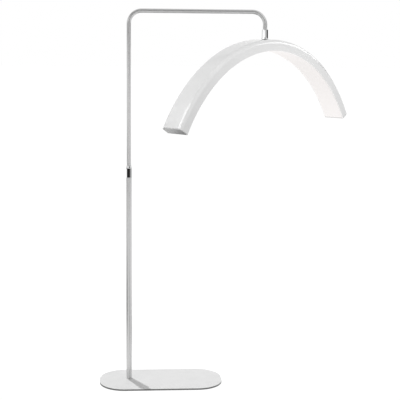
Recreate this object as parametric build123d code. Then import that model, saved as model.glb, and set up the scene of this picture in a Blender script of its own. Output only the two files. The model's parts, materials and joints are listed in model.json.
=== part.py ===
from build123d import *
import math
import os

# Half-moon floor lamp. Millimetres and degrees, +Z up.
# The origin is on the floor, on the pole's axis; the arm reaches along +X.

# Base plate and its pad
BASE_LENGTH = 560.0
BASE_DEPTH = 275.0
BASE_THICK = 8.0
BASE_CORNER_R = 115.0
BASE_EDGE_R = 1.5
BASE_REACH = 146.0
BASE_SETBACK = 16.0
PAD_THICK = 2.0
PAD_INSET = 8.0
PLATE_TOP = PAD_THICK + BASE_THICK

# Foot of the pole
PLUG_HEIGHT = 60.0
BOLT_D = 10.0
BOLT_HEAD_D = 20.0
BOLT_HEAD_DEPTH = 5.0
BOLT_LENGTH = 38.0
BOLT_KEY_WIDTH = 6.0
BOLT_KEY_DEPTH = 3.5
DOWEL_D = 4.0
DOWEL_LENGTH = 12.0
DOWEL_RADIUS = 7.8
DOWEL_DEPTH = 3.0

# Pole tubes
LOWER_TUBE_D = 25.0
LOWER_BORE_D = 22.0
LOWER_TUBE_TOP = 945.0
ARM_TUBE_D = 19.0
ARM_BORE_D = 16.4
ARM_TUBE_FOOT = 775.0
ARM_TOP = 1697.0
ARM_REACH = 602.0
ARM_BEND_R = 57.0
ARM_AXIS_Z = ARM_TOP - ARM_TUBE_D / 2
DROP_END_Z = 1576.0

# Lead outlet in the back of the lower tube, and the lead in the arm
OUTLET_Z = 105.0
OUTLET_HOLE_D = 9.0
OUTLET_FLANGE_D = 13.0
OUTLET_FLANGE_PROUD = 2.0
OUTLET_INNER_D = 11.0
OUTLET_INNER_PROUD = 1.5
OUTLET_BORE_D = 5.6
LEAD_D = 5.0
LEAD_LOW = 760.0
LEAD_HIGH_END = 1545.0

# Twist clamp at the top of the lower tube
FERRULE_LOW = 912.5
FERRULE_BORE_D = 19.8
GROOVE_D = 24.0
STUB_D = 22.4
STUB_TOP = 985.0
SEAT_LOW = 974.0
SEAT_LOW_D = 20.2
SEAT_TOP_D = 21.5
COLLET_TOP = 990.0
COLLET_FLANGE_D = 21.8
COLLET_SLITS = 3
COLLET_SLIT_WIDTH = 1.2
COLLET_RING = 3.0
COLLAR_D = 26.0
COLLAR_LOW = 947.3
COLLAR_SHOULDER = 992.5
COLLAR_TOP = 1004.0
COLLAR_MOUTH_D = 19.9
COLLAR_LIP = 0.7
COLLAR_CHAMFER = 0.8
COLLAR_SEAT = 990.3

# Glide ring on the arm tube's foot
GLIDE_D = 21.84
GLIDE_LOW = 775.3
GLIDE_HEIGHT = 14.5
GLIDE_SLIT = 1.5
CLIP_D = 20.6
CLIP_GAP = 0.3
CLIP_HEIGHT = 1.6
END_CAP_FLANGE_D = 20.6
END_CAP_FLANGE = 2.0
END_CAP_PLUG = 12.0
END_CAP_BORE_D = 8.0

# Fits, turned chamfers, and how far a cutter runs past the face it cuts
SLIP = 0.04
RUNNING = 0.10
CHAMFER = 1.0
PAST = 1.0

# Light head: one circular arc, hung at its apex and turned about the drop
ARC_INNER_R = 670.0
ARC_THICK = 50.0
ARC_OUTER_R = ARC_INNER_R + ARC_THICK
ARC_WIDTH = 106.5
ARC_HALF_ANGLE = 59.7
ARC_CORNER_R = 18.0
ARC_RIM_R = 1.2
ARC_APEX_Z = 1567.5
ARC_CENTRE_Z = ARC_APEX_Z - ARC_OUTER_R
HEAD_TURN = 45.6
WALL = 2.4
HALF_INSIDE = ARC_WIDTH / 2 - WALL

# Rails inside the housing, as heights above its inner rim
LIP_REACH = 1.2
LIP_TOP = 0.9
DIFFUSER_LEDGE = (3.05, 5.0)
CARRIER_LEDGE = (15.3, 17.0)
CARRIER_LIP = (18.6, 20.0)
LEDGE_REACH = 3.6
RIB_Y = 22.0
RIB_WIDTH = 6.0
RIB_LOW = 42.5
BLEND = 0.3

# Strips that slide into the rails
DIFFUSER_BAND = (1.0, 3.0)
CARRIER_BAND = (17.05, 18.25)
SIDE_PLAY = 0.3
CARRIER_SHORT = 14.0

# Boards and their chips
BOARD_COUNT = 6
BOARD_BAND = (15.4, 17.0)
BOARD_HALF_WIDTH = 30.0
BOARD_GAP = 5.0
CHIP_COLUMNS = 9
CHIP_ROW_Y = 15.0
CHIP_LENGTH = 5.0
CHIP_WIDTH = 3.0
CHIP_HEIGHT = 0.8
CHIP_SINK = 0.1

# Driver on its gap pad
DRIVER_ANGLE = 12.5
DRIVER_SIZE = (92.0, 38.0, 14.0)
DRIVER_EDGE_R = 2.0
DRIVER_PAD_SIZE = (84.0, 34.0)
DRIVER_PAD_CROWN = 1.5

# Bracket behind the apex
BRACKET_HALF_LENGTH = 45.0
BRACKET_HALF_WIDTH = 30.0
BRACKET_THICK = 3.0
BRACKET_CORNER_R = 8.0
BRACKET_SCREW_X = 34.0
BRACKET_SCREW_D = 4.0
BRACKET_SCREW_HEAD_D = 7.5
BRACKET_SCREW_HEAD = 2.4
BRACKET_SCREW_BITE = 4.0

# End caps
CAP_THICK = 3.0
CAP_GAP = 0.2
CAP_EDGE_R = 0.8
CAP_TONGUE = 3.0
CAP_TAB = 9.0
CAP_TAB_BAND = (5.4, 14.8)
CAP_TAB_THICK = 3.0
CAP_SCREW_D = 2.6
CAP_SCREW_HEAD_D = 5.4
CAP_SCREW_HEAD = 1.5
CAP_SCREW_LENGTH = 11.0
CAP_SCREW_BAND = 45.1

# Swivel between the drop and the head
STUD_D = 10.0
STUD_BORE_D = 6.5
STUD_TOP = 1603.0
STUD_END = 1543.5
PLUG_FLANGE_D = 18.6
PLUG_FLANGE = 4.0
PLUG_TOP = 1605.0
SLEEVE_LOW = 1568.9
SLEEVE_TOP = 1611.0
SLEEVE_TOP_D = 26.6
SLEEVE_WAIST_D = 28.0
SLEEVE_FOOT_D = 31.0
SLEEVE_FOOT_RISE = 1.6
SLEEVE_FLARE_RISE = 7.0
SLEEVE_TOP_ROUND = 1.5
SET_SCREW_D = 4.0
SET_SCREW_Z = 1594.0
SET_SCREW_OUT = 13.2
SET_SCREW_KEY = 2.0
SET_SCREW_KEY_DEPTH = 1.6
BUSH_D = 13.9
BUSH_HOLE_D = 14.0
BUSH_FLANGE_D = 26.0
BUSH_FLANGE = 1.1
BUSH_SEAT = 0.05
WASHER_D = 20.0
WASHER_THICK = 1.5
WAVE_D = 19.0
WAVE_THICK = 1.2
NUT_WIDTH = 17.0
NUT_HEIGHT = 8.0
STACK_GAP = 0.3


def turned(*outline):
    """Solid turned about Z from an outline of (radius, height) points."""
    return revolve(Plane.XZ * make_face(Polyline(*outline, close=True)), Axis.Z)


def pipe(outer_d, inner_d, low, high):
    """Round tube or ring standing on Z between two heights."""
    r_in, r_out = inner_d / 2, outer_d / 2
    return turned((r_in, low), (r_out, low), (r_out, high), (r_in, high))


def rod(diameter, low, high):
    """Solid bar on Z between two heights."""
    return Pos(0, 0, (low + high) / 2) * Cylinder(diameter / 2, high - low)


def cross_rod(diameter, y_low, y_high, z):
    """Solid bar along Y at one height."""
    return Pos(0, (y_low + y_high) / 2, z) * Rot(90, 0, 0) * Cylinder(diameter / 2, y_high - y_low)


def hex_bar(width, low, high):
    """Hexagonal bar on Z, measured across its flats."""
    bar = extrude(RegularPolygon(width / 2, 6, major_radius=False), high - low)
    return Pos(0, 0, low) * bar


def at_drop(shape):
    """Moves a shape from the Z axis onto the drop's axis."""
    return Pos(ARM_REACH, 0, 0) * shape


def round_plate(length, depth, corner_r, low, thick):
    """Plate with round corners; the pole stands near one end, a little behind the middle."""
    outline = RectangleRounded(length, depth, corner_r)
    return Pos(BASE_REACH, -BASE_SETBACK, low) * extrude(outline, thick)


def base_plate():
    plate = round_plate(BASE_LENGTH, BASE_DEPTH, BASE_CORNER_R, PAD_THICK, BASE_THICK)
    rims = plate.faces().filter_by(Axis.Z).edges()
    plate = fillet(rims, BASE_EDGE_R)
    hole_r = BOLT_D / 2 + RUNNING
    head_r = BOLT_HEAD_D / 2 + RUNNING
    shoulder = PAD_THICK + BOLT_HEAD_DEPTH
    top = PLATE_TOP + PAST
    sink = turned((0, 0), (head_r, 0), (head_r, PAD_THICK), (hole_r, shoulder), (hole_r, top), (0, top))
    dowel = Pos(DOWEL_RADIUS, 0, 0) * rod(DOWEL_D + SLIP, PLATE_TOP - DOWEL_DEPTH, top)
    return plate - sink - dowel


def floor_pad():
    length = BASE_LENGTH - 2 * PAD_INSET
    depth = BASE_DEPTH - 2 * PAD_INSET
    return round_plate(length, depth, BASE_CORNER_R - PAD_INSET, 0, PAD_THICK)


def foot_plug():
    radius = (LOWER_BORE_D - SLIP) / 2
    top = PLATE_TOP + PLUG_HEIGHT
    edge = (radius, top - CHAMFER), (radius - CHAMFER, top)
    body = turned((0, PLATE_TOP), (radius, PLATE_TOP), *edge, (0, top))
    thread = rod(BOLT_D + SLIP, PLATE_TOP, PAD_THICK + BOLT_LENGTH + PAST)
    dowel = Pos(DOWEL_RADIUS, 0, 0) * rod(DOWEL_D + SLIP, PLATE_TOP, PLATE_TOP + DOWEL_LENGTH)
    return body - thread - dowel


def base_bolt():
    low = PAD_THICK + RUNNING
    shoulder = PAD_THICK + BOLT_HEAD_DEPTH
    r_head, r_shank = BOLT_HEAD_D / 2, BOLT_D / 2
    end = PAD_THICK + BOLT_LENGTH
    tip = (r_shank, end - CHAMFER), (r_shank - CHAMFER, end)
    body = turned((0, low), (r_head, low), (r_shank, shoulder), *tip, (0, end))
    return body - hex_bar(BOLT_KEY_WIDTH, low, low + BOLT_KEY_DEPTH)


def dowel_pin():
    low = PLATE_TOP - DOWEL_DEPTH
    return Pos(DOWEL_RADIUS, 0, 0) * rod(DOWEL_D, low, low + DOWEL_LENGTH)


def lower_tube():
    tube = pipe(LOWER_TUBE_D, LOWER_BORE_D, PLATE_TOP, LOWER_TUBE_TOP)
    return tube - cross_rod(OUTLET_HOLE_D, 0, LOWER_TUBE_D, OUTLET_Z)


def lead_grommet():
    """Rubber bush whose two flanges clip over the tube's wall."""
    low, high = OUTLET_Z - LOWER_TUBE_D, OUTLET_Z + LOWER_TUBE_D
    tube_r, bore_r = LOWER_TUBE_D / 2, LOWER_BORE_D / 2
    outer = cross_rod(OUTLET_FLANGE_D, 0, tube_r + OUTLET_FLANGE_PROUD, OUTLET_Z)
    outer -= rod(LOWER_TUBE_D + SLIP, low, high)
    inner = cross_rod(OUTLET_INNER_D, bore_r - OUTLET_INNER_PROUD, tube_r, OUTLET_Z)
    inner &= rod(LOWER_BORE_D - SLIP, low, high)
    neck = cross_rod(OUTLET_HOLE_D - SLIP, bore_r - OUTLET_INNER_PROUD, tube_r + BLEND, OUTLET_Z)
    return outer + inner + neck - cross_rod(OUTLET_BORE_D, 0, LOWER_TUBE_D, OUTLET_Z)


def clamp_ferrule():
    """Spigot in the lower tube, threaded stub above it, cone inside the stub's mouth."""
    bore = FERRULE_BORE_D / 2
    spigot = (LOWER_BORE_D - SLIP) / 2
    groove = GROOVE_D / 2
    stub = STUB_D / 2
    groove_top = COLLAR_LOW - RUNNING
    return turned(
        (bore, FERRULE_LOW),
        (spigot, FERRULE_LOW),
        (spigot, LOWER_TUBE_TOP),
        (groove, LOWER_TUBE_TOP),
        (groove, groove_top),
        (stub, groove_top),
        (stub, STUB_TOP),
        (SEAT_TOP_D / 2, STUB_TOP),
        (SEAT_LOW_D / 2, SEAT_LOW),
        (bore, SEAT_LOW),
    )


def split_collet():
    bore = (ARM_TUBE_D + RUNNING) / 2
    flange = COLLET_FLANGE_D / 2
    flange_low = STUB_TOP + RUNNING
    ring = turned(
        (bore, SEAT_LOW + RUNNING),
        ((SEAT_LOW_D - RUNNING) / 2, SEAT_LOW + RUNNING),
        ((SEAT_TOP_D - RUNNING) / 2, STUB_TOP),
        ((SEAT_TOP_D - RUNNING) / 2, flange_low),
        (flange, flange_low),
        (flange, COLLET_TOP),
        (bore, COLLET_TOP),
    )
    height = COLLET_TOP - COLLET_RING - SEAT_LOW
    for index in range(COLLET_SLITS):
        slit = Pos(flange, 0, SEAT_LOW + height / 2) * Box(flange, COLLET_SLIT_WIDTH, height)
        ring -= Rot(0, 0, index * 360 / COLLET_SLITS) * slit
    return ring


def twist_collar():
    thread = (STUB_D + RUNNING) / 2
    mouth = COLLAR_MOUTH_D / 2
    outside = COLLAR_D / 2
    return turned(
        (thread, COLLAR_LOW),
        (outside - COLLAR_CHAMFER, COLLAR_LOW),
        (outside, COLLAR_LOW + COLLAR_CHAMFER),
        (outside, COLLAR_SHOULDER),
        (mouth + COLLAR_LIP, COLLAR_TOP),
        (mouth, COLLAR_TOP),
        (mouth, COLLAR_SEAT),
        (thread, COLLAR_SEAT),
    )


def glide_ring():
    ring = pipe(GLIDE_D, ARM_TUBE_D + RUNNING, GLIDE_LOW, GLIDE_LOW + GLIDE_HEIGHT)
    middle = GLIDE_LOW + GLIDE_HEIGHT / 2
    return ring - Pos(GLIDE_D / 2, 0, middle) * Box(GLIDE_D / 2, GLIDE_SLIT, GLIDE_HEIGHT)


def glide_clip():
    low = GLIDE_LOW + GLIDE_HEIGHT + CLIP_GAP
    return pipe(CLIP_D, ARM_TUBE_D + SLIP, low, low + CLIP_HEIGHT)


def tube_end_cap():
    bore = END_CAP_BORE_D / 2
    plug = (ARM_BORE_D - SLIP) / 2
    flange = END_CAP_FLANGE_D / 2
    low = ARM_TUBE_FOOT - END_CAP_FLANGE
    high = ARM_TUBE_FOOT + END_CAP_PLUG
    step = (flange, ARM_TUBE_FOOT), (plug, ARM_TUBE_FOOT)
    return turned((bore, low), (flange, low), *step, (plug, high), (bore, high))


def arm_path(low, high_end):
    """Up the pole, over two equal bends, along the arm and down the drop."""
    return FilletPolyline(
        (0, 0, low),
        (0, 0, ARM_AXIS_Z),
        (ARM_REACH, 0, ARM_AXIS_Z),
        (ARM_REACH, 0, high_end),
        radius=ARM_BEND_R,
    )


def arm_tube():
    wall = Circle(ARM_TUBE_D / 2) - Circle(ARM_BORE_D / 2)
    return sweep(Pos(0, 0, ARM_TUBE_FOOT) * wall, path=arm_path(ARM_TUBE_FOOT, DROP_END_Z))


def arm_lead():
    core = Pos(0, 0, LEAD_LOW) * Circle(LEAD_D / 2)
    return sweep(core, path=arm_path(LEAD_LOW, LEAD_HIGH_END))


def drop_plug():
    bore = (STUD_D + SLIP) / 2
    plug = (ARM_BORE_D - SLIP) / 2
    flange = PLUG_FLANGE_D / 2
    low = DROP_END_Z - PLUG_FLANGE
    step = (flange, DROP_END_Z), (plug, DROP_END_Z)
    return at_drop(turned((bore, low), (flange, low), *step, (plug, PLUG_TOP), (bore, PLUG_TOP)))


def swivel_sleeve():
    """Sleeve with a faint taper, a flared foot and a rounded top edge."""
    bore = (ARM_TUBE_D + RUNNING) / 2
    foot, waist, top = SLEEVE_FOOT_D / 2, SLEEVE_WAIST_D / 2, SLEEVE_TOP_D / 2
    foot_top = SLEEVE_LOW + SLEEVE_FOOT_RISE
    flare_top = SLEEVE_LOW + SLEEVE_FLARE_RISE
    round_low = SLEEVE_TOP - SLEEVE_TOP_ROUND
    crown = (top - SLEEVE_TOP_ROUND, SLEEVE_TOP)
    side = Line((waist, flare_top), (top, round_low))
    flare = TangentArc((waist, flare_top), (foot, foot_top), tangent=side % 0 * -1)
    rounded = TangentArc((top, round_low), crown, tangent=side % 1)
    inside = Polyline(crown, (bore, SLEEVE_TOP), (bore, SLEEVE_LOW), (foot, SLEEVE_LOW), (foot, foot_top))
    sleeve = revolve(Plane.XZ * make_face(Curve() + [side, flare, rounded, inside]), Axis.Z)
    return at_drop(sleeve - cross_rod(SET_SCREW_D + SLIP, 0, SLEEVE_FOOT_D, SET_SCREW_Z))


def sleeve_set_screw():
    screw = cross_rod(SET_SCREW_D, ARM_TUBE_D / 2 + SLIP, SET_SCREW_OUT, SET_SCREW_Z)
    key = hex_bar(SET_SCREW_KEY, 0, SET_SCREW_KEY_DEPTH)
    return at_drop(screw - Pos(0, SET_SCREW_OUT, SET_SCREW_Z) * Rot(90, 0, 0) * key)


def swivel_stud():
    return at_drop(pipe(STUD_D, STUD_BORE_D, STUD_END, STUD_TOP))


def band(heights):
    """Radii of a band given as heights above the housing's inner rim."""
    return ARC_INNER_R + heights[0], ARC_INNER_R + heights[1]


def arc_degrees(length):
    """Angle that a length takes along the housing's inner rim."""
    return math.degrees(length / ARC_INNER_R)


HOUSING_END = ARC_HALF_ANGLE - arc_degrees(CAP_THICK + CAP_GAP)
DIFFUSER_END = HOUSING_END - arc_degrees(CAP_TONGUE)


def in_head(shape):
    """Places a shape made about the arc's centre, in the arc's plane, on the lamp."""
    return Location((ARM_REACH, 0, ARC_CENTRE_Z), (0, 0, HEAD_TURN)) * shape


def strip(y_low, y_high, radii):
    """Rectangle in the section: y across the band, then distance from the arc's centre."""
    low, high = radii
    return Pos((y_low + y_high) / 2, (low + high) / 2) * Rectangle(y_high - y_low, high - low)


def strip_pair(y_low, y_high, radii):
    return strip(y_low, y_high, radii) + strip(-y_high, -y_low, radii)


def rolled(section, start, end):
    """Carries a section along the arc between two angles from the apex."""
    return Rot(0, start, 0) * revolve(Plane.YZ * section, Axis.Y, end - start)


def on_arc(angle, y, radius):
    """Place at an angle along the arc, with local Z pointing away from its centre."""
    return Rot(0, angle, 0) * Pos(0, y, radius)


def round_back(half_width, radii, corner_r):
    """Block whose two corners on the arc's outside are round."""
    block = strip(-half_width, half_width, radii)
    return fillet(block.vertices().group_by(Axis.Y)[-1], corner_r)


def housing_outline():
    block = round_back(ARC_WIDTH / 2, (ARC_INNER_R, ARC_OUTER_R), ARC_CORNER_R)
    return fillet(block.vertices().group_by(Axis.Y)[0], ARC_RIM_R)


def housing_section():
    """Channel open towards the arc's centre, with its rails and two screw ribs."""
    wall_r = ARC_OUTER_R - WALL
    cavity = round_back(HALF_INSIDE, (ARC_INNER_R - WALL, wall_r), ARC_CORNER_R - WALL)
    section = housing_outline() - cavity
    buried = HALF_INSIDE + BLEND
    section += strip_pair(HALF_INSIDE - LIP_REACH, buried, band((ARC_RIM_R / 4, LIP_TOP)))
    for ledge in (DIFFUSER_LEDGE, CARRIER_LEDGE, CARRIER_LIP):
        section += strip_pair(HALF_INSIDE - LEDGE_REACH, buried, band(ledge))
    rib = (ARC_INNER_R + RIB_LOW, wall_r + BLEND)
    return section + strip_pair(RIB_Y - RIB_WIDTH / 2, RIB_Y + RIB_WIDTH / 2, rib)


def bracket_screw_places():
    angle = math.degrees(BRACKET_SCREW_X / (ARC_INNER_R + RIB_LOW))
    return [on_arc(side * angle, y, ARC_INNER_R + RIB_LOW) for side in (-1, 1) for y in (-RIB_Y, RIB_Y)]


def cap_screw_places():
    """Mouths of the end-cap screw holes, with local Z pointing out of the arc's end."""
    radius = ARC_INNER_R + CAP_SCREW_BAND
    return [
        on_arc(side * ARC_HALF_ANGLE, y, radius) * Rot(0, side * 90, 0)
        for side in (-1, 1)
        for y in (-RIB_Y, RIB_Y)
    ]


def arc_housing():
    housing = rolled(housing_section(), -HOUSING_END, HOUSING_END)
    housing -= rod(BUSH_HOLE_D, ARC_OUTER_R - WALL - PAST, ARC_OUTER_R + PAST)
    for place in bracket_screw_places():
        housing -= place * rod(BRACKET_SCREW_D + SLIP, -PAST, BRACKET_SCREW_BITE)
    for place in cap_screw_places():
        housing -= place * rod(CAP_SCREW_D + SLIP, -CAP_SCREW_LENGTH - PAST, 0)
    return in_head(housing)


def swivel_bush():
    bore = (STUD_D + RUNNING) / 2
    body, flange = BUSH_D / 2, BUSH_FLANGE_D / 2
    low = ARC_APEX_Z - ARC_THICK + RIB_LOW - BRACKET_THICK
    seat = ARC_APEX_Z + BUSH_SEAT
    top = seat + BUSH_FLANGE
    return at_drop(turned((bore, low), (body, low), (body, seat), (flange, seat), (flange, top), (bore, top)))


def mount_bracket():
    high = ARC_INNER_R + RIB_LOW - BUSH_SEAT
    low = high - BRACKET_THICK
    half_angle = math.degrees(BRACKET_HALF_LENGTH / high)
    section = strip(-BRACKET_HALF_WIDTH, BRACKET_HALF_WIDTH, (low, high))
    plate = rolled(section, -half_angle, half_angle)
    corners = plate.edges().sort_by(lambda edge: abs(edge.center().X * edge.center().Y))[-4:]
    plate = fillet(corners, BRACKET_CORNER_R) - rod(BUSH_HOLE_D, low - PAST, high + PAST)
    for place in bracket_screw_places():
        plate -= place * rod(BRACKET_SCREW_D + RUNNING, -BRACKET_THICK - PAST, PAST)
    return in_head(plate)


def bracket_screws():
    seat = -BRACKET_THICK - 2 * BUSH_SEAT
    low = seat - BRACKET_SCREW_HEAD
    r_head, r_shank = BRACKET_SCREW_HEAD_D / 2, BRACKET_SCREW_D / 2
    end = BRACKET_SCREW_BITE - RUNNING
    head = (0, low), (r_head - CHAMFER, low), (r_head, low + CHAMFER), (r_head, seat)
    screw = turned(*head, (r_shank, seat), (r_shank, end), (0, end))
    return in_head(Compound([place * screw for place in bracket_screw_places()]))


def led_carrier():
    half = HALF_INSIDE - SIDE_PLAY
    end = HOUSING_END - arc_degrees(CARRIER_SHORT)
    return in_head(rolled(strip(-half, half, band(CARRIER_BAND)), -end, end))


def led_board(index):
    """One board of the row, with two rows of chips on its face towards the diffuser."""
    span = 2 * (HOUSING_END - arc_degrees(CARRIER_SHORT)) / BOARD_COUNT
    start = (index - BOARD_COUNT / 2) * span + arc_degrees(BOARD_GAP / 2)
    end = start + span - arc_degrees(BOARD_GAP)
    low, high = band(BOARD_BAND)
    board = rolled(strip(-BOARD_HALF_WIDTH, BOARD_HALF_WIDTH, (low, high)), start, end)
    step = (end - start) / CHIP_COLUMNS
    chip = Box(CHIP_LENGTH, CHIP_WIDTH, CHIP_HEIGHT)
    middle = low - CHIP_HEIGHT / 2 + CHIP_SINK
    for column in range(CHIP_COLUMNS):
        for y in (-CHIP_ROW_Y, CHIP_ROW_Y):
            board += on_arc(start + (column + 0.5) * step, y, middle) * chip
    return in_head(board)


def driver_pad():
    """Gap pad with a flat top, moulded to the carrier's curve below."""
    carrier_r = ARC_INNER_R + CARRIER_BAND[1] + BUSH_SEAT
    length, width = DRIVER_PAD_SIZE
    depth = 4 * DRIVER_PAD_CROWN
    block = Pos(0, 0, carrier_r + DRIVER_PAD_CROWN - depth / 2) * Box(length, width, depth)
    block -= Rot(90, 0, 0) * Cylinder(carrier_r, 2 * width)
    return in_head(Rot(0, DRIVER_ANGLE, 0) * block)


def driver_module():
    length, width, height = DRIVER_SIZE
    low = ARC_INNER_R + CARRIER_BAND[1] + 2 * BUSH_SEAT + DRIVER_PAD_CROWN
    case = Box(length, width, height)
    case = fillet(case.edges().filter_by(Axis.Z), DRIVER_EDGE_R)
    return in_head(on_arc(DRIVER_ANGLE, 0, low + height / 2) * case)


def diffuser():
    half = HALF_INSIDE - SIDE_PLAY
    end = DIFFUSER_END - arc_degrees(CAP_GAP)
    return in_head(rolled(strip(-half, half, band(DIFFUSER_BAND)), -end, end))


def right_cap_shape():
    """Plate across the arc's end, with a tongue in the rim and two tabs inside the walls."""
    near = HOUSING_END + arc_degrees(CAP_GAP)
    joined = near + arc_degrees(CAP_THICK / 2)
    cap = rolled(housing_outline(), near, ARC_HALF_ANGLE)
    face = cap.faces().sort_by(Axis.X)[-1]
    cap = fillet(face.edges(), CAP_EDGE_R)
    tongue_half = HALF_INSIDE - LIP_REACH - SIDE_PLAY
    tongue = strip(-tongue_half, tongue_half, band((0, DIFFUSER_BAND[1])))
    cap += rolled(tongue, DIFFUSER_END, joined)
    tab_far = HALF_INSIDE - SIDE_PLAY
    tabs = strip_pair(tab_far - CAP_TAB_THICK, tab_far, band(CAP_TAB_BAND))
    cap += rolled(tabs, HOUSING_END - arc_degrees(CAP_TAB), joined)
    hole_r, sink_r = CAP_SCREW_D / 2 + RUNNING, CAP_SCREW_HEAD_D / 2 + RUNNING
    depth = -CAP_THICK - PAST
    sink = (hole_r, -CAP_SCREW_HEAD), (sink_r, 0), (sink_r, PAST)
    hole = turned((0, depth), (hole_r, depth), *sink, (0, PAST))
    for place in cap_screw_places()[2:]:
        cap -= place * hole
    return cap


def right_end_cap():
    return in_head(right_cap_shape())


def left_end_cap():
    return in_head(mirror(right_cap_shape(), Plane.YZ))


def end_cap_screws():
    r_head, r_shank = CAP_SCREW_HEAD_D / 2, CAP_SCREW_D / 2
    top, end = -RUNNING, -CAP_SCREW_LENGTH
    screw = turned((0, end), (r_shank, end), (r_shank, top - CAP_SCREW_HEAD), (r_head, top), (0, top))
    return in_head(Compound([place * screw for place in cap_screw_places()]))


STACK_TOP = ARC_APEX_Z - ARC_THICK + RIB_LOW - BRACKET_THICK - STACK_GAP
WAVE_TOP = STACK_TOP - WASHER_THICK
NUT_TOP = WAVE_TOP - WAVE_THICK


def swivel_washer():
    return at_drop(pipe(WASHER_D, STUD_D + 2 * RUNNING, WAVE_TOP, STACK_TOP))


def wave_washer():
    return at_drop(pipe(WAVE_D, STUD_D + 4 * RUNNING, NUT_TOP, WAVE_TOP))


def swivel_nut():
    low = NUT_TOP - NUT_HEIGHT
    body = hex_bar(NUT_WIDTH, low, NUT_TOP)
    across = NUT_WIDTH / 2
    corner = across + 2 * CHAMFER
    round_off = turned((0, low), (across, low), (corner, low + CHAMFER), (corner, NUT_TOP), (0, NUT_TOP))
    return at_drop((body & round_off) - rod(STUD_D + SLIP, low, NUT_TOP))


NODES = {
    "base_plate": base_plate(),
    "floor_pad": floor_pad(),
    "foot_plug": foot_plug(),
    "base_bolt": base_bolt(),
    "dowel_pin": dowel_pin(),
    "lower_tube": lower_tube(),
    "lead_grommet": lead_grommet(),
    "clamp_ferrule": clamp_ferrule(),
    "split_collet": split_collet(),
    "twist_collar": twist_collar(),
    "glide_ring": glide_ring(),
    "glide_clip": glide_clip(),
    "tube_end_cap": tube_end_cap(),
    "arm_tube": arm_tube(),
    "arm_lead": arm_lead(),
    "drop_plug": drop_plug(),
    "swivel_sleeve": swivel_sleeve(),
    "sleeve_set_screw": sleeve_set_screw(),
    "swivel_stud": swivel_stud(),
    "swivel_washer": swivel_washer(),
    "wave_washer": wave_washer(),
    "swivel_nut": swivel_nut(),
    "arc_housing": arc_housing(),
    "swivel_bush": swivel_bush(),
    "mount_bracket": mount_bracket(),
    "bracket_screws": bracket_screws(),
    "led_carrier": led_carrier(),
    "driver_pad": driver_pad(),
    "driver_module": driver_module(),
    "diffuser": diffuser(),
    "left_end_cap": left_end_cap(),
    "right_end_cap": right_end_cap(),
    "end_cap_screws": end_cap_screws(),
}
for number in range(BOARD_COUNT):
    NODES[f"led_board_{number + 1}"] = led_board(number)

os.makedirs("parts", exist_ok=True)
for name, shape in NODES.items():
    export_step(shape, f"parts/{name}.step")
    print(name, round(shape.volume / 1000, 2), "cm3")
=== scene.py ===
# %% [markdown]
# # A half-moon floor lamp
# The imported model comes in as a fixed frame: every steel, nylon and plastic piece is already there, in
# metres, with +Z up, the pole on the Z axis and the arm along +X. This lesson dresses that frame: it makes
# the large smooth skins anew, gives every piece a finish, and lights the lamp for a catalogue picture on
# white.

# %% The frame
import json
import math

import bpy
import numpy as np
from mathutils import Matrix, Quaternion, Vector


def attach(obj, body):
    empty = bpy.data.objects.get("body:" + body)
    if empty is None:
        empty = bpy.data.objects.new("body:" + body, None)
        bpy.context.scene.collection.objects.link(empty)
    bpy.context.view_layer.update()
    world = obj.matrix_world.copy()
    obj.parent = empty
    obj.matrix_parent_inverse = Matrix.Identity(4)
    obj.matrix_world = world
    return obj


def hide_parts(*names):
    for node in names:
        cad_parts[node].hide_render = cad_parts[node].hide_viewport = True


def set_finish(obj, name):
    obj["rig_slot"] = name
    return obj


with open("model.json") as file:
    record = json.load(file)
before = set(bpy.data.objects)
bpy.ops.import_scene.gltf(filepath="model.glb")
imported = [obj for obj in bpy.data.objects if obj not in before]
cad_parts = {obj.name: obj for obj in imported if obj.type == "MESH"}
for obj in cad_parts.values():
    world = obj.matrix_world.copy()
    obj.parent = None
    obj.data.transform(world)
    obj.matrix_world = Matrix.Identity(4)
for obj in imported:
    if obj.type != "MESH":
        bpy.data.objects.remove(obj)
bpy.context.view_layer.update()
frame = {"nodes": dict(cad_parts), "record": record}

# %% [markdown]
# ## From numbers to a mesh
# A skin is a grid of points: one row for each station of a path, one column for each point of a profile.
# The quads between neighbours follow from the grid's shape alone, so they can be worked out for the whole
# grid at once. A path that closes on itself needs no ends; any other gets one face at each end. Edges
# sharper than 35 degrees stay crisp and the rest shade smoothly, as on a pressed or extruded part.

# %% Grid to piece
MM = 0.001
CREASE = math.radians(35)


def grid_quads(rows, columns, closed_path):
    """Corner (i, k) of the grid joins (i, k+1), (i+1, k+1) and (i+1, k); columns always wrap, rows may."""
    i = np.arange(rows if closed_path else rows - 1)[:, None]
    k = np.arange(columns)[None, :]
    here, along = i * columns, (i + 1) % rows * columns
    beside = (k + 1) % columns
    return np.stack([here + k, here + beside, along + beside, along + k], axis=-1).reshape(-1, 4)


def volume(mesh):
    """Sum over the triangles of one sixth of a.(b x c): positive when the faces point outwards."""
    mesh.calc_loop_triangles()
    corners = np.empty(len(mesh.loop_triangles) * 3, np.int32)
    mesh.loop_triangles.foreach_get("vertices", corners)
    points = np.empty(len(mesh.vertices) * 3, np.float32)
    mesh.vertices.foreach_get("co", points)
    a, b, c = points.reshape(-1, 3).astype(float)[corners.reshape(-1, 3)].transpose(1, 0, 2)
    return float((a * np.cross(b, c)).sum() / 6)


def put_in_scene(name, data):
    """New object at the origin for a mesh, a light or a camera."""
    made = bpy.data.objects.new(name, data)
    bpy.context.scene.collection.objects.link(made)
    return made


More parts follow.
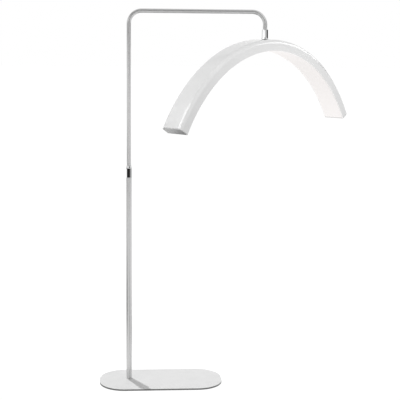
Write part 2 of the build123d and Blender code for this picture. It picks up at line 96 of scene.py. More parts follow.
def skin(name, grid, closed_path=False):
    """Mesh over grid[station, profile point], with both ends closed unless the path is; faces outwards."""
    rows, columns = grid.shape[:2]
    faces = grid_quads(rows, columns, closed_path).tolist()
    if not closed_path:
        first = np.arange(columns)
        faces += [first[::-1].tolist(), (first + (rows - 1) * columns).tolist()]
    mesh = bpy.data.meshes.new(name)
    mesh.from_pydata(grid.reshape(-1, 3).tolist(), [], faces)
    mesh.validate()
    mesh.shade_smooth()
    mesh.set_sharp_from_angle(angle=CREASE)
    cm3 = round(volume(mesh) * 1e6, 1)
    print(name, len(mesh.vertices), "points,", len(mesh.polygons), "faces,", cm3, "cm3")
    return put_in_scene(name, mesh)


def fit_on(piece, body, slot, *nodes):
    """The piece stands for these nodes of the frame, moves with their body and takes their finish."""
    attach(piece, body)
    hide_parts(*nodes)
    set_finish(piece, slot)


print("a grid of 3 by 4 points has", len(grid_quads(3, 4, closed_path=False)), "quads")

# %% [markdown]
# ## The light head's skin
# On the real lamp this is an extruded channel, rolled to one circular arc: flat back, two generous round
# shoulders, straight walls, a thin rim, and ledges inside that hold the diffuser and the strip with the
# boards. A box bent by a modifier would only come close. Here the section is written once, in millimetres,
# as heights above the rim and distances from the middle, and carried round the arc's centre, so it is a
# true arc from any side.

# %% The channel's section
ARC_INNER_R, ARC_THICK, ARC_HALF_WIDTH = 670.0, 50.0, 53.25
SHOULDER_R, RIM_R, WALL = 18.0, 1.2, 2.4
HALF_INSIDE = ARC_HALF_WIDTH - WALL
# Heights of the lip at the rim, of the ledges for diffuser and carrier, and of the screw ribs
LIP, LIP_REACH = (0.3, 0.9), 1.2
LEDGES, LEDGE_REACH = ((3.05, 5.0), (15.3, 17.0), (18.6, 20.0)), 3.6
RIB_Y, RIB_WIDTH, RIB_LOW = 22.0, 6.0, 42.5


def quarter(centre, radius, start, steps, guard=0.3):
    """Points of a quarter circle, from an angle in degrees and counter-clockwise, with one guard point on
    the straight side before it and one on the side after it, so that those sides shade flat up to it."""
    angle = np.radians(np.linspace(start, start + 90, steps))
    arc = np.stack([centre[0] + radius * np.cos(angle), centre[1] + radius * np.sin(angle)], axis=1)
    forward = np.stack([-np.sin(angle), np.cos(angle)], axis=1)
    return np.concatenate([[arc[0] - guard * forward[0]], arc, [arc[-1] + guard * forward[-1]]])


def ledge(band, reach):
    """Four corners of a ledge that stands out from the right wall's inner face, over a band of heights."""
    low, high = band
    tip = HALF_INSIDE - reach
    return np.array([[HALF_INSIDE, low], [tip, low], [tip, high], [HALF_INSIDE, high]])


def channel_section():
    """Closed outline (y, height): the outside from the right rim over the back to the left rim, then the
    inside from the left rim back to the right one. The left half mirrors the right half."""
    rim = quarter((ARC_HALF_WIDTH - RIM_R, RIM_R), RIM_R, -90, steps=7)
    shoulder_centre = (ARC_HALF_WIDTH - SHOULDER_R, ARC_THICK - SHOULDER_R)
    outside = np.concatenate([rim, quarter(shoulder_centre, SHOULDER_R, 0, steps=22)])
    ledges = [ledge(LIP, LIP_REACH), *(ledge(band, LEDGE_REACH) for band in LEDGES)]
    corner = quarter(shoulder_centre, SHOULDER_R - WALL, 0, steps=10)
    roof, near, far = ARC_THICK - WALL, RIB_Y - RIB_WIDTH / 2, RIB_Y + RIB_WIDTH / 2
    rib = np.array([[far, roof], [far, RIB_LOW], [near, RIB_LOW], [near, roof]])
    inside = np.concatenate([[[HALF_INSIDE, 0.0]], *ledges, corner, rib])
    flip = np.array([-1.0, 1.0])
    return np.concatenate([outside, outside[::-1] * flip, inside * flip, inside[::-1]])


print("channel section:", len(channel_section()), "points")

# %% Rolled round the arc
ARC_APEX_Z = 1567.5
ARC_CENTRE_Z = ARC_APEX_Z - ARC_THICK - ARC_INNER_R
ARC_HALF_ANGLE = math.radians(59.7)
HEAD_TURN = math.radians(45.6)
ARM_REACH = 602.0
# An end cap's thickness, the tongue it puts into the rim, and the gap left for paint
CAP_THICK, CAP_TONGUE, CAP_GAP = 3.0, 3.0, 0.2
HOUSING_END = ARC_HALF_ANGLE - (CAP_THICK + CAP_GAP) / ARC_INNER_R


def rolled(section, end, stations):
    """World points of a section carried to even angles a, from -end to end about the apex: at height h the
    radius r is the inner radius plus h, so a point is centre + (r sin a, y, r cos a), turned with the head
    about the drop."""
    a = np.linspace(-end, end, stations)[:, None]
    across, radius = section[None, :, 0] + 0 * a, ARC_INNER_R + section[None, :, 1]
    along = radius * np.sin(a)
    x = ARM_REACH + along * np.cos(HEAD_TURN) - across * np.sin(HEAD_TURN)
    depth = along * np.sin(HEAD_TURN) + across * np.cos(HEAD_TURN)
    z = ARC_CENTRE_Z + radius * np.cos(a)
    return np.stack([x, depth, z], axis=-1) * MM


housing = skin("rolled_channel", rolled(channel_section(), HOUSING_END, stations=221))
fit_on(housing, "head", "shell_white", "arc_housing")

# %% [markdown]
# ## The opal strip
# The diffuser is a 2 mm sheet that slides in behind the rim. Its two long edges are eased, as a cut and
# flame-polished acrylic strip is, so they catch a line of light beside the rim. It is the same arc with a
# smaller section: a rectangle whose corners are quarter circles.

# %% Diffuser
DIFFUSER_LOW, DIFFUSER_HIGH, DIFFUSER_EASE = 1.0, 3.0, 0.4
SIDE_PLAY = 0.3
DIFFUSER_HALF_WIDTH = HALF_INSIDE - SIDE_PLAY
DIFFUSER_END = HOUSING_END - (CAP_TONGUE + CAP_GAP) / ARC_INNER_R


def eased_strip(half_width, low, high, ease, steps=5):
    """Rectangle (y, height) with quarter-circle corners, counter-clockwise from the lower right."""
    y, lower, upper = half_width - ease, low + ease, high - ease
    corners = [((y, lower), -90), ((y, upper), 0), ((-y, upper), 90), ((-y, lower), 180)]
    return np.concatenate([quarter(centre, ease, start, steps) for centre, start in corners])


strip_section = eased_strip(DIFFUSER_HALF_WIDTH, DIFFUSER_LOW, DIFFUSER_HIGH, DIFFUSER_EASE)
strip = skin("opal_strip", rolled(strip_section, DIFFUSER_END, stations=201))
fit_on(strip, "head", "diffuser_opal", "diffuser")

# %% [markdown]
# ## The bent arm
# One steel tube, 19 mm across, goes up inside the pole, over two equal bends and down the drop. A curve
# with a round bevel would give a tube without an inside. Here the centre line is worked out from its
# straight runs and quarter bends, a ring of points is set square to it at each station, and the path runs
# down the outside and back up the bore, so the tube has its real wall and open ends.

# %% Arm tube
ARM_TUBE_R, ARM_BORE_R, BEND_R = 9.5, 8.2, 57.0
ARM_FOOT_Z, ARM_AXIS_Z, DROP_END_Z = 775.0, 1687.5, 1576.0


def arm_line(bend_steps=40):
    """Centre line (x, z) and its heading in radians from the vertical: up, a quarter bend, level, a quarter
    bend, down. In a bend the heading h turns evenly: the first bend's point is its centre plus
    R (-cos h, sin h), the second's its centre plus R (sin h, cos h)."""
    turn = np.linspace(0, math.pi / 2, bend_steps)
    sine, cosine = BEND_R * np.sin(turn), BEND_R * np.cos(turn)
    first = np.stack([BEND_R - cosine, ARM_AXIS_Z - BEND_R + sine], axis=1)
    second = np.stack([ARM_REACH - BEND_R + sine, ARM_AXIS_Z - BEND_R + cosine], axis=1)
    line = np.concatenate([[[0.0, ARM_FOOT_Z]], first, second, [[ARM_REACH, DROP_END_Z]]])
    heading = np.concatenate([[0.0], turn, turn + math.pi / 2, [math.pi]])
    return line, heading


def arm_rings(radius, around=64):
    """Rings square to the centre line: the ring's two axes are depth and the line's own right-hand side."""
    line, heading = arm_line()
    a = np.linspace(0, 2 * math.pi, around, endpoint=False)[None, :]
    side_x, side_z = np.cos(heading)[:, None], -np.sin(heading)[:, None]
    x = line[:, :1] + radius * np.cos(a) * side_x
    z = line[:, 1:] + radius * np.cos(a) * side_z
    return np.stack([x, radius * np.sin(a) + 0 * x, z], axis=-1) * MM


arm_path = np.concatenate([arm_rings(ARM_TUBE_R), arm_rings(ARM_BORE_R)[::-1]])
arm = skin("bent_arm_tube", arm_path, closed_path=True)
fit_on(arm, "arm", "tube_silver", "arm_tube")

# %% [markdown]
# ## The chromed collar
# The collar that clamps the telescoping pole is turned from brass and plated. Plating rounds every corner a
# little, and those small rounds are what flash in the light. The profile gets a fillet at each turned
# corner and is then spun about the pole, so that its edges carry real highlights.

# %% Twist collar
COLLAR_PROFILE = np.array([
    # radius, height, fillet
    (11.25, 947.3, 0.2),
    (12.2, 947.3, 0.5),
    (13.0, 948.1, 0.5),
    (13.0, 992.5, 1.2),
    (10.65, 1004.0, 0.4),
    (9.95, 1004.0, 0.3),
    (9.95, 990.3, 0.2),
    (11.25, 990.3, 0.2),
])


def rounded(corner, fillet, steps=6, most=0.45, guard=0.04):
    """Closed outline with each corner replaced by a fillet: from the corner, the curve starts and ends one
    setback along the two sides, and runs between them as the parabola (1-t)^2 A + 2t(1-t) P + t^2 B. A
    setback takes at most a given share of a side. A guard point just outside each end of the curve keeps
    the side beyond it shading straight."""
    before, after = np.roll(corner, 1, axis=0) - corner, np.roll(corner, -1, axis=0) - corner
    long_before, long_after = (np.linalg.norm(v, axis=1, keepdims=True) for v in (before, after))
    setback = np.minimum(fillet[:, None], most * np.minimum(long_before, long_after))
    start, end = corner + before / long_before * setback, corner + after / long_after * setback
    t = np.linspace(0, 1, steps)[None, :, None]
    curve = (1 - t) ** 2 * start[:, None] + 2 * t * (1 - t) * corner[:, None] + t**2 * end[:, None]
    first, last = (start + guard * before)[:, None], (end + guard * after)[:, None]
    return np.concatenate([first, curve, last], axis=1).reshape(-1, 2)


def spun(outline, around=128):
    """Outline (radius, height) turned once about the pole: x = r cos a, y = r sin a."""
    a = np.linspace(0, 2 * math.pi, around, endpoint=False)[:, None]
    r, z = outline[None, :, 0], outline[None, :, 1]
    return np.stack([r * np.cos(a), r * np.sin(a), z + 0 * a], axis=-1) * MM


collar_outline = rounded(COLLAR_PROFILE[:, :2], COLLAR_PROFILE[:, 2])
collar = skin("twist_collar_chrome", spun(collar_outline)[::-1], closed_path=True)
fit_on(collar, "collar", "bright_chrome", "twist_collar")

# %% [markdown]
# ## The base plate
# An 8 mm steel plate with very round corners, its edges eased before painting. The outline shrinks inwards
# as the profile climbs over the eased edge: an inset outline of a rounded rectangle is the same rectangle
# with smaller corner circles, so every ring of the grid has the same number of points.

# %% Plate
PLATE_LENGTH, PLATE_DEPTH, PLATE_CORNER_R = 560.0, 275.0, 115.0
PLATE_X, PLATE_Y = 146.0, -16.0
PAD_THICK, PLATE_TOP, PLATE_EASE = 2.0, 10.0, 1.5
FLAT_INSET = PLATE_EASE + 1.0


def plate_rings(inset, height, steps=33):
    """Rounded rectangle at each (inset, height): corner centres stay, corner radii shrink by the inset."""
    starts = np.array([[0], [90], [180], [270]])
    a = np.radians(np.linspace(0, 90, steps)[None, :] + starts).reshape(1, -1)
    sign_x, sign_y = (np.repeat(signs, steps)[None, :] for signs in ([1, -1, -1, 1], [1, 1, -1, -1]))
    r = PLATE_CORNER_R - inset[:, None]
    x = PLATE_X + sign_x * (PLATE_LENGTH / 2 - PLATE_CORNER_R) + r * np.cos(a)
    y = PLATE_Y + sign_y * (PLATE_DEPTH / 2 - PLATE_CORNER_R) + r * np.sin(a)
    return np.stack([x, y, height[:, None] + 0 * x], axis=-1) * MM


def plate_edge(steps=9):
    """Insets and heights from the underside round both eased edges to the top: over the lower edge they are
    E (1 - sin c) and E (1 - cos c) for a climb c of 0 to 90 degrees, and over the upper one the reverse."""
    climb = np.radians(np.linspace(0, 90, steps))
    by_sine, by_cosine = PLATE_EASE * (1 - np.sin(climb)), PLATE_EASE * (1 - np.cos(climb))
    inset = np.concatenate([[FLAT_INSET], by_sine, by_cosine, [FLAT_INSET]])
    height = np.concatenate([[PAD_THICK], PAD_THICK + by_cosine, PLATE_TOP - by_sine, [PLATE_TOP]])
    return inset, height


plate = skin("painted_plate", plate_rings(*plate_edge()))
fit_on(plate, "stand", "plate_paint", "base_plate")

# %% [markdown]
# ## Finishes
# Each finish is a small node tree on Object coordinates, which are the lamp's own metres, so a grain keeps
# its real size on every piece. Three noises do most of the work: one of a millimetre or less for the
# surface's relief, one of some centimetres that lets the tone drift as it does in any real coating, and one
# that makes the gloss a little uneven. Numbers that hold all over a piece are typed on the shader itself.

# %% Trees, nodes and shaders


def empty_tree(holder):
    """Node tree of a new material or world, with nothing in it yet."""
    holder.use_nodes = True
    holder.node_tree.nodes.clear()
    return holder.node_tree


def node(tree, kind, **settings):
    """New node; a setting is an input's value if the node has that input, and otherwise a property."""
    made = tree.nodes.new(kind)
    for key, value in settings.items():
        if key in made.inputs:
            made.inputs[key].default_value = value
        else:
            setattr(made, key, value)
    return made


def finish_on_shader(name, **sockets):
    """New material with a single Principled shader, its even numbers typed on its sockets."""
    material = bpy.data.materials.new(name)
    tree = empty_tree(material)
    shader = node(tree, "ShaderNodeBsdfPrincipled", **sockets)
    output = node(tree, "ShaderNodeOutputMaterial")
    tree.links.new(shader.outputs["BSDF"], output.inputs["Surface"])
    return material, tree, shader


def grey(value, warm=0.0):
    """Grey of one linear value, a little warmer or cooler."""
    return (value * (1 + warm), value, value * (1 - warm))


print("a middle grey", grey(0.5), "and a warmer one", grey(0.5, 0.02))

# %% Noise, and what it moves
NOISE_LOW, NOISE_HIGH = 0.3, 0.7


def object_point(tree):
    """The point that is shaded, in the lamp's own metres."""
    return node(tree, "ShaderNodeTexCoord").outputs["Object"]


def noise(tree, size, detail=3.0):
    """Noise whose blotches are about `size` metres across; nearly all of it lies between low and high."""
    grain = node(tree, "ShaderNodeTexNoise", Scale=1.0 / size, Detail=detail, Roughness=0.55)
    tree.links.new(object_point(tree), grain.inputs["Vector"])
    return grain.outputs["Fac"]


def drift(tree, shader, source, dark, light):
    """Base colour that wanders between two tones with a noise."""
    ramp = node(tree, "ShaderNodeValToRGB")
    first, last = ramp.color_ramp.elements
    first.position, last.position = NOISE_LOW, NOISE_HIGH
    first.color, last.color = (*dark, 1.0), (*light, 1.0)
    tree.links.new(source, ramp.inputs["Fac"])
    tree.links.new(ramp.outputs["Color"], shader.inputs["Base Color"])
    return ramp


def gloss(tree, shader, source, low, high):
    """Roughness that wanders between two values with a noise."""
    ends = {"From Min": NOISE_LOW, "From Max": NOISE_HIGH, "To Min": low, "To Max": high}
    spread = node(tree, "ShaderNodeMapRange", **ends)
    tree.links.new(source, spread.inputs["Value"])
    tree.links.new(spread.outputs["Result"], shader.inputs["Roughness"])


def relief(tree, shader, source, depth):
    """Bump of a real depth, in metres."""
    bump = node(tree, "ShaderNodeBump", Strength=1.0, Distance=depth)
    tree.links.new(source, bump.inputs["Height"])
    tree.links.new(bump.outputs["Normal"], shader.inputs["Normal"])


print("noise used from", NOISE_LOW, "to", NOISE_HIGH)

# %% [markdown]
# ### Painted steel
# The plate is powder coated: the powder melts into a skin with a faint orange peel about a millimetre
# across. Its edge was sheared and eased, and below the top its side is painted a darker grey: painted
# shade, standing in for the shade that falls on that side. The tubes carry a silver lacquer: metal flakes
# in a clear coat, so the tone is a metal's but the gloss is soft.

# %% Plate paint and tube lacquer
# Heights over which the painted shade on the plate's side fades out towards the top
EDGE_SHADE_FULL_Z, EDGE_SHADE_GONE_Z = (PLATE_TOP - 1.2) * MM, (PLATE_TOP - 0.1) * MM


def plate_paint():
    """Pale grey powder coat, with painted shade below the plate's upper edge: its side turns a darker grey.
    """
    material, tree, shader = finish_on_shader("plate_paint", **{"Specular IOR Level": 0.2})
    ramp = drift(tree, shader, noise(tree, 0.06), grey(0.725), grey(0.755))
    axes = node(tree, "ShaderNodeSeparateXYZ")
    coat = node(tree, "ShaderNodeMapRange", **{"From Min": EDGE_SHADE_FULL_Z, "From Max": EDGE_SHADE_GONE_Z})
    tone = node(tree, "ShaderNodeMix", data_type="RGBA", blend_type="MIX")
    # Painted shade: the dark grey of the plate's side
    tone.inputs["A"].default_value = (*grey(0.24), 1.0)
    tree.links.new(object_point(tree), axes.inputs["Vector"])
    tree.links.new(axes.outputs["Z"], coat.inputs["Value"])
    tree.links.new(coat.outputs["Result"], tone.inputs["Factor"])
    tree.links.new(ramp.outputs["Color"], tone.inputs["B"])
    tree.links.new(tone.outputs["Result"], shader.inputs["Base Color"])
    gloss(tree, shader, noise(tree, 0.004), 0.40, 0.50)
    relief(tree, shader, noise(tree, 0.0012, detail=1.5), 0.00006)
    return material


def tube_silver():
    """Flakes half a millimetre across under a thin clear coat."""
    lacquer = {"Metallic": 0.85, "Coat Weight": 0.15, "Coat Roughness": 0.2}
    material, tree, shader = finish_on_shader("tube_silver", **lacquer)
    drift(tree, shader, noise(tree, 0.0006, detail=2.0), grey(0.58), grey(0.66))
    gloss(tree, shader, noise(tree, 0.003), 0.26, 0.34)
    relief(tree, shader, noise(tree, 0.0005, detail=1.0), 0.00001)
    return material


finishes = {"plate_paint": plate_paint(), "tube_silver": tube_silver()}
print("painted steel:", sorted(finishes))

# %% [markdown]
# ### Chrome and plain steel
# Chrome is a mirror that gives back a little over six tenths of the light, so it is light grey in a white
# room; a trace of unevenness in its gloss keeps it from looking like a drawing. The hidden steel is zinc
# plated, and zinc shows spangles: cells of slightly different grey.

# %% Chrome and zinc


def bright_chrome():
    """Almost clear mirror."""
    material, tree, shader = finish_on_shader("bright_chrome", Metallic=1.0)
    drift(tree, shader, noise(tree, 0.02), grey(0.60, -0.005), grey(0.64, -0.005))
    gloss(tree, shader, noise(tree, 0.004), 0.02, 0.05)
    return material


def plain_steel():
    """Zinc with spangles about a millimetre across."""
    material, tree, shader = finish_on_shader("plain_steel", Metallic=1.0)
    cells = node(tree, "ShaderNodeTexVoronoi", Scale=900.0)
    tree.links.new(object_point(tree), cells.inputs["Vector"])
    drift(tree, shader, cells.outputs["Distance"], grey(0.52, -0.02), grey(0.66, -0.02))
    gloss(tree, shader, noise(tree, 0.002), 0.28, 0.42)
    return material


finishes |= {"bright_chrome": bright_chrome(), "plain_steel": plain_steel()}
print("with bare metal:", sorted(finishes))

# %% [markdown]
# ### White skins and the opal strip
# The channel and its end caps are sprayed a glossy white; the caps are set a darker grey, which is painted
# shade for the shade on the left cap. A very shallow ripple breaks the reflections as real spray does. The
# opal strip is matt acrylic filled with white powder. It spreads the light of the boards behind it, so
# besides its colour it gives off a soft, even light of its own. The last millimetre of the lips beside it
# glows too: painted light, standing in for the strip's light on them. A real lamp behind the strip would
# flood the picture and hide the arc's shape, so the glow is only about as bright as white paper, and
# Blender is told not to sample it as a lamp, which keeps noise down.

# %% White spray and opal
STRIP_GLOW = (1.0, 0.965, 0.95)
# Radii between which the painted light on the lips fades out
PAINTED_LIGHT_FULL_R, PAINTED_LIGHT_GONE_R = (ARC_INNER_R + 0.4) * MM, (ARC_INNER_R + 1.3) * MM
ARC_CENTRE = (ARM_REACH * MM, 0.0, ARC_CENTRE_Z * MM)
ARC_AXIS = (-math.sin(HEAD_TURN), math.cos(HEAD_TURN), 0.0)


def painted_lip_light(tree, shader, strength):
    """Painted light on the lips beside the strip, standing in for the strip's light on them: emission that
    is gone within about a millimetre of the arc's inner radius. Distance from the arc's axis is the length
    of the cross product of the axis with the offset from the arc's centre."""
    offset, across, radius, tint = (
        node(tree, "ShaderNodeVectorMath", operation=step)
        for step in ("SUBTRACT", "CROSS_PRODUCT", "LENGTH", "SCALE")
    )
    offset.inputs[1].default_value = ARC_CENTRE
    across.inputs[1].default_value = ARC_AXIS
    tint.inputs[0].default_value = STRIP_GLOW
    ends = {"From Min": PAINTED_LIGHT_FULL_R, "From Max": PAINTED_LIGHT_GONE_R, "To Min": 1.0, "To Max": 0.0}
    fade = node(tree, "ShaderNodeMapRange", **ends)
    tree.links.new(object_point(tree), offset.inputs[0])
    tree.links.new(offset.outputs["Vector"], across.inputs[0])
    tree.links.new(across.outputs["Vector"], radius.inputs[0])
    tree.links.new(radius.outputs["Value"], fade.inputs["Value"])
    tree.links.new(fade.outputs["Result"], tint.inputs["Scale"])
    tree.links.new(tint.outputs["Vector"], shader.inputs["Emission Color"])
    shader.inputs["Emission Strength"].default_value = strength


def white_spray(name, tone, shine, coat):
    """Sprayed white: shine is the paint's own mirror share, coat the clear layer over it."""
    looks = {"Specular IOR Level": shine, "Coat Weight": coat, "Coat Roughness": 0.16}
    material, tree, shader = finish_on_shader(name, **looks)
    material.cycles.emission_sampling = "NONE"
    # Painted light: the shell glows on the lips beside the strip
    painted_lip_light(tree, shader, 0.4)
    drift(tree, shader, noise(tree, 0.09), grey(tone - 0.015), grey(tone + 0.01))
    gloss(tree, shader, noise(tree, 0.03), 0.28, 0.34)
    relief(tree, shader, noise(tree, 0.0016, detail=1.0), 0.000004)
    return material


def diffuser_opal():
    """Matt warm white that glows about as brightly as paper."""
    looks = {"Specular IOR Level": 0.3, "Emission Color": (*STRIP_GLOW, 1.0), "Emission Strength": 0.59}
    material, tree, shader = finish_on_shader("diffuser_opal", **looks)
    material.cycles.emission_sampling = "NONE"
    drift(tree, shader, noise(tree, 0.05), (0.66, 0.645, 0.64), (0.68, 0.665, 0.66))
    gloss(tree, shader, noise(tree, 0.003), 0.5, 0.6)
    relief(tree, shader, noise(tree, 0.0007, detail=2.0), 0.00002)
    return material


finishes |= {
    "shell_white": white_spray("shell_white", 0.80, shine=0.2, coat=0.8),
    # Painted shade: the caps' white is set darker than the channel's, standing in for the shade on the left
    # cap
    "cap_white": white_spray("cap_white", 0.67, shine=0.15, coat=0.9),
    "diffuser_opal": diffuser_opal(),
}
print("with the head:", sorted(finishes))

# %% [markdown]
# ### The small pieces
# Rubber, foam, nylon and the boards are moulded or cut: each is one tone with a grain of its own size and
# depth. They differ only in those numbers, so one recipe makes them all.

# %% Moulded and cut pieces


def moulded(name, tone, roughness, grain, depth, tint=0.0, metallic=0.0):
    """Finish with a single grain, in metres: it moves the tone by some hundredths, the gloss a little, and
    the relief by its depth."""
    material, tree, shader = finish_on_shader(name, Metallic=metallic)
    source = noise(tree, grain)
    drift(tree, shader, source, grey(tone * 0.92, tint), grey(tone * 1.06, tint))
    gloss(tree, shader, source, roughness - 0.05, roughness + 0.05)
    relief(tree, shader, source, depth)
    return material


finishes |= {
    "foam_pad": moulded("foam_pad", 0.06, 0.85, 0.0015, 0.0003),
    "black_rubber": moulded("black_rubber", 0.03, 0.6, 0.0008, 0.00005),
    "nylon": moulded("nylon", 0.30, 0.5, 0.0010, 0.00003),
    "lead_jacket": moulded("lead_jacket", 0.62, 0.5, 0.0010, 0.00003),
    "carrier_aluminium": moulded("carrier_aluminium", 0.70, 0.35, 0.0008, 0.00001, metallic=1.0),
    "board_white": moulded("board_white", 0.80, 0.45, 0.0020, 0.00001, tint=0.01),
    "gap_pad": moulded("gap_pad", 0.42, 0.7, 0.0012, 0.00004, tint=-0.08),
    "driver_case": moulded("driver_case", 0.72, 0.5, 0.0010, 0.00004),
}
print("all finishes:", len(finishes))

# %% [markdown]
# ### Putting the finishes on
# The record says which slot each node takes its finish from, and the new skins carry their slot's name, so
# the same table dresses both.

# %% Dress every piece
skins = (housing, strip, arm, collar, plate)
for entry in frame["record"]["subparts"]:
    shown = frame["nodes"][entry["node"]]
    shown.material_slots[0].material = finishes[entry["material_slot"]]
for piece in skins:
    piece.data.materials.append(finishes[piece["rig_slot"]])

# %% [markdown]
# ## The camera
# The lamp fills the picture's height, seen from eye level a little under five metres away. The numbers come
# from matching the lamp's outlines: where the pole, the arm, the arc's rims and the plate's edge fall in
# the picture. The camera looks along +Y, turned slightly to the right, tipped down, and leaning by half a
# degree.

# %% Camera
FOCAL_PX, PICTURE_PX = 1040.29, 400
CAMERA_PLACE = (-0.01831, -4.63809, 1.60819)
PAN, TIP, LEAN = (math.radians(degrees) for degrees in (-4.1857, 90 - 9.3083, 0.5806))
view = bpy.data.cameras.new("catalogue_view")
view.sensor_width = 36.0
view.lens = FOCAL_PX * view.sensor_width / PICTURE_PX
camera = put_in_scene("catalogue_view", view)
camera.matrix_world = (
    Matrix.Translation(CAMERA_PLACE)
    @ Matrix.Rotation(PAN, 4, "Z")
    @ Matrix.Rotation(TIP, 4, "X")
    @ Matrix.Rotation(LEAN, 4, "Z")
)
bpy.context.scene.camera = camera
print("lens", round(view.lens, 2), "mm")

# %% [markdown]
# ## White ground
# A catalogue ground is white to the eye but must not flood the lamp with light. The Light Path node tells
# the two apart: what looks straight at the ground, or sees it in metal, meets plain white; light that
# bounces off it meets a dull grey. A fifth of what the eye sees is an ordinary lit surface, so the shadow
# stays.

# %% Two answers for two kinds of ray


def seen(tree):
    """1 for a ray that looks or mirrors, 0 for light that spreads: camera, glossy and transmission rays
    added."""
    path = node(tree, "ShaderNodeLightPath")
    looks = node(tree, "ShaderNodeMath", operation="ADD")
    total = node(tree, "ShaderNodeMath", operation="ADD", use_clamp=True)
    tree.links.new(path.outputs["Is Camera Ray"], looks.inputs[0])
    tree.links.new(path.outputs["Is Glossy Ray"], looks.inputs[1])
    tree.links.new(looks.outputs["Value"], total.inputs[0])
    tree.links.new(path.outputs["Is Transmission Ray"], total.inputs[1])
    return total.outputs["Value"]


def by_ray(tree, spreads, shows, output_kind):
    """Output that gives the first shader to light that spreads and the second to rays that look or
    mirror."""
    choice = node(tree, "ShaderNodeMixShader")
    output = node(tree, output_kind)
    tree.links.new(seen(tree), choice.inputs["Fac"])
    tree.links.new(spreads, choice.inputs[1])
    tree.links.new(shows, choice.inputs[2])
    tree.links.new(choice.outputs["Shader"], output.inputs["Surface"])


print("shown to camera, glossy and transmission rays; the rest spreads")

# %% Floor
WHITE = (1.0, 1.0, 1.0, 1.0)
GROUND_REACH = 40.0


def white_ground():
    """Dull grey for light that bounces; paper for the eye, four fifths of it glowing and the rest lit."""
    material = bpy.data.materials.new("white_ground")
    material.cycles.emission_sampling = "NONE"
    tree = empty_tree(material)
    bounce = node(tree, "ShaderNodeBsdfDiffuse", Color=(*grey(0.62), 1.0))
    lit = node(tree, "ShaderNodeBsdfDiffuse", Color=(*grey(0.95), 1.0))
    glow = node(tree, "ShaderNodeEmission", Color=WHITE, Strength=1.17)
    paper = node(tree, "ShaderNodeMixShader", Fac=0.8)
    tree.links.new(lit.outputs["BSDF"], paper.inputs[1])
    tree.links.new(glow.outputs["Emission"], paper.inputs[2])
    by_ray(tree, bounce.outputs["BSDF"], paper.outputs["Shader"], "ShaderNodeOutputMaterial")
    return material


ground_corners = np.array([[-1, -1, 0], [1, -1, 0], [1, 1, 0], [-1, 1, 0]], float) * GROUND_REACH
ground_mesh = bpy.data.meshes.new("ground")
ground_mesh.from_pydata(ground_corners.tolist(), [], [[0, 1, 2, 3]])
ground_mesh.materials.append(white_ground())
ground = put_in_scene("ground", ground_mesh)
print("ground", 2 * GROUND_REACH, "m square")

# %% Surroundings


def white_surroundings():
    """World that is plain white to the eye and about half as bright for the light it spreads."""
    world = bpy.data.worlds.new("white_surroundings")
    tree = empty_tree(world)
    soft = node(tree, "ShaderNodeBackground", Color=WHITE, Strength=0.48)
    plain = node(tree, "ShaderNodeBackground", Color=WHITE, Strength=1.0)
    by_ray(tree, soft.outputs["Background"], plain.outputs["Background"], "ShaderNodeOutputWorld")
    return world


bpy.context.scene.world = white_surroundings()
print("surroundings:", bpy.context.scene.world.name)

# %% [markdown]
# ## Flags and kickers
# Polished metal only shows what stands around it, and in an all-white room chrome is one even grey. A
# studio puts cards about the set for that reason: flags, mostly dark, that stand round it, hang over it or
# lie on the floor, and bright kickers. Only mirror rays can meet these cards, so they draw the bands in the
# collar, the sleeve and the tubes, the shade across the left end cap and the bright line along the arc's
# shoulder, and take no light from anything else. The brightest cards are meant for one or two pieces, and
# light linking keeps their light for those.

# %% A card and its tone


def flag_tone(name, value):
    """Even tone for mirror rays: below 1 it is darker than the white room, above 1 brighter. It is left out
    of the lamps' sampling, so it adds no speckle elsewhere."""
    material = bpy.data.materials.new(name)
    material.cycles.emission_sampling = "NONE"
    tree = empty_tree(material)
    shade = node(tree, "ShaderNodeEmission", Color=WHITE, Strength=value)
    output = node(tree, "ShaderNodeOutputMaterial")
    tree.links.new(shade.outputs["Emission"], output.inputs["Surface"])
    return material


def flag(name, foot, head, value):
    """Card between two rows of points, met by mirror rays alone."""
    steps = len(foot)
    k = np.arange(steps - 1)
    quads = np.stack([k, k + 1, k + 1 + steps, k + steps], axis=1)
    mesh = bpy.data.meshes.new(name)
    mesh.from_pydata(np.concatenate([foot, head]).tolist(), [], quads.tolist())
    mesh.materials.append(flag_tone(name, value))
    card = put_in_scene(name, mesh)
    card.visible_camera = card.visible_diffuse = card.visible_shadow = False
    card.visible_transmission = card.visible_volume_scatter = False
    return card


def bright_for(card, *pieces):
    """The card gives its light to these pieces; all others see it black."""
    lit = bpy.data.collections.new(card.name + "_lit")
    for piece in pieces:
        lit.objects.link(piece)
    card.light_linking.receiver_collection = lit


print("card helpers ready")

# %% Shapes of cards


def at_height(x, y, z):
    """Row of points (x, y) at one height."""
    return np.stack([x, y + 0 * x, z + 0 * x], axis=1)


def upright(axis_x, radius, start, end, low, high, steps=25):
    """Foot and head of a curved card about an upright axis: angles count in degrees from the camera's side
    to the right, and a point is (axis + radius sin a, -radius cos a)."""
    a = np.radians(np.linspace(start, end, steps))
    x, y = axis_x + radius * np.sin(a), -radius * np.cos(a)
    return at_height(x, y, low), at_height(x, y, high)


def lying(x_low, x_high, y_low, y_high, z):
    """Near and far row of a level card."""
    x = np.array([x_low, x_high])
    return at_height(x, y_low, z), at_height(x, y_high, z)


def facing(place, target, roll=0.0):
    """Turn that points -Z from a place to a target; roll turns it further about that line, in degrees."""
    towards = (Vector(target) - Vector(place)).to_track_quat("-Z", "Y")
    return towards @ Quaternion((0.0, 0.0, 1.0), math.radians(roll))


def square_on(place, target, width, height, roll=0.0):
    """Lower and upper side of a card square to the line from its place to a target: a corner is the place,
    half the width along the card's own X and half the height along its own Y, turned."""
    turn = np.array(facing(place, target, roll).to_matrix())
    sides = np.array([[-0.5 * width, 0, 0], [0.5 * width, 0, 0]]) @ turn.T
    rise = np.array([0, 0.5 * height, 0]) @ turn.T
    return np.array(place) + sides - rise, np.array(place) + sides + rise


print("a curved card has", len(upright(0.0, 1.0, 0, 90, 0.0, 1.0)[0]), "points along each side")

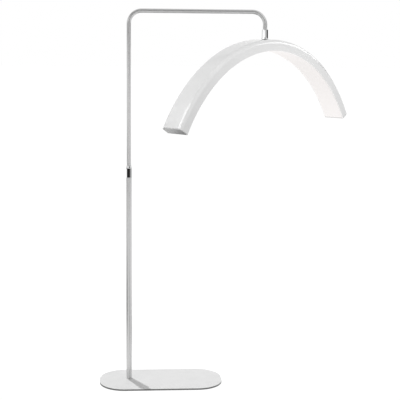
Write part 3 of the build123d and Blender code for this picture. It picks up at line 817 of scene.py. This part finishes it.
# %% Where the cards stand
POLE, DROP = 0.0, ARM_REACH * MM
ON_FLOOR, OVERHEAD = 0.02, 2.9
STANDING = (
    # name, axis, radius, first and last angle, foot, head, tone
    ("low_white_flag", POLE, 1.5, -165, -88, 0.72, 0.80, 1.5),
    ("low_black_flag", POLE, 1.5, -88, 42, 0.70, 0.82, 0.03),
    ("low_grey_flag", POLE, 1.5, 42, 95, 0.70, 0.82, 0.50),
    ("low_pale_flag", POLE, 1.5, 95, 175, 0.70, 0.82, 0.75),
    ("left_flag", POLE, 1.3, -140, -70, 0.82, 0.95, 0.1),
    ("front_low_flag", POLE, 2.2, -8, 45, 1.35, 1.60, 0.03),
    ("front_high_flag", POLE, 2.2, -8, 35, 1.70, 2.60, 0.03),
    ("high_white_flag", DROP, 1.5, -105, 0, 1.57, 1.67, 1.6),
    ("high_grey_flag", DROP, 1.5, 0, 66, 1.56, 1.70, 0.8),
    ("high_black_flag", DROP, 1.5, 66, 172, 1.56, 1.70, 0.01),
)
LEVEL = (
    # name, x from and to, y from and to, height, tone
    ("over_flag", -0.5, 1.2, -2.1, -0.4, OVERHEAD, 0.35),
    ("near_floor_flag", 0.15, 0.9, -1.9, -0.4, ON_FLOOR, 0.4),
    ("far_floor_flag", 0.0, 0.75, 0.35, 1.8, ON_FLOOR, 0.03),
    ("cap_floor_flag", -0.12, 0.0, 0.5, 1.7, ON_FLOOR, 0.03),
    ("left_floor_flag", -2.4, -0.8, -0.8, 0.8, ON_FLOOR, 0.1),
)
KICKERS = (
    # name, place, target, width, height, roll, tone
    ("left_kicker", (-0.64, -0.877, 2.551), (0.46, -0.627, 1.421), 1.6, 0.8, 28.0, 6.0),
    ("right_kicker", (2.08, 0.557, 1.955), (0.60, 0.207, 1.455), 1.1, 0.46, 0.0, 4.6),
)
cards = {}
for shape, table in ((upright, STANDING), (lying, LEVEL), (square_on, KICKERS)):
    cards |= {name: flag(name, *shape(*sizes), tone) for name, *sizes, tone in table}
sleeve = frame["nodes"]["swivel_sleeve"]
bright_for(cards["high_white_flag"], sleeve)
bright_for(cards["left_kicker"], housing, sleeve)
bright_for(cards["right_kicker"], housing)
print("cards:", sorted(cards))

# %% [markdown]
# ## Studio lamps
# One softbox on the left lights the outside of the arc's near leg, one on the right its front wall, and a
# weak one behind the lamp its back wall. Each carries a honeycomb grid, which narrows the beam, so little
# of it spills onto the plate. A small hard lamp behind the pole lights the plate instead and draws the
# pole's shadow across it. None of the lamps shows to the camera, and the softboxes leave no mirror image:
# that is the cards' work.

# %% Softboxes and the hard lamp
SOFTBOX_SIDE = 1.2


def aim(lamp, place, target):
    """Sets a lamp down and turns its beam, which leaves along its own -Z, towards a target."""
    lamp.location = place
    lamp.rotation_euler = facing(place, target).to_euler()
    lamp.visible_camera = False


def softbox(name, place, target, watts, spread=65):
    """Square panel behind a grid: it lights surfaces but leaves no mirror image of itself."""
    light = bpy.data.lights.new(name, "AREA")
    light.size, light.energy = SOFTBOX_SIDE, watts
    light.spread = math.radians(spread)
    lamp = put_in_scene(name, light)
    aim(lamp, place, target)
    lamp.visible_glossy = False


softbox("left_softbox", (-0.8, -1.3, 2.2), (0.3, -0.3, 1.5), 3.0)
softbox("right_softbox", (2.45, -1.5, 1.3), (0.64, 0.04, 1.4), 5.0)
softbox("back_softbox", (-0.5, 2.5, 2.0), (0.6, 0.0, 1.5), 3.5, spread=45)

hard = bpy.data.lights.new("pole_shadow_lamp", "SPOT")
hard.energy = 130.0
hard.spot_size = math.radians(17)
hard.spot_blend = 0.25
hard.shadow_soft_size = 0.008
aim(put_in_scene("pole_shadow_lamp", hard), (-0.109, 0.214, 2.6), (0.13, -0.02, 0.0))

# %% [markdown]
# ## Picture settings
# The Standard view shows colours as they were typed.

# %% Finish
bpy.context.scene.view_settings.view_transform = "Standard"
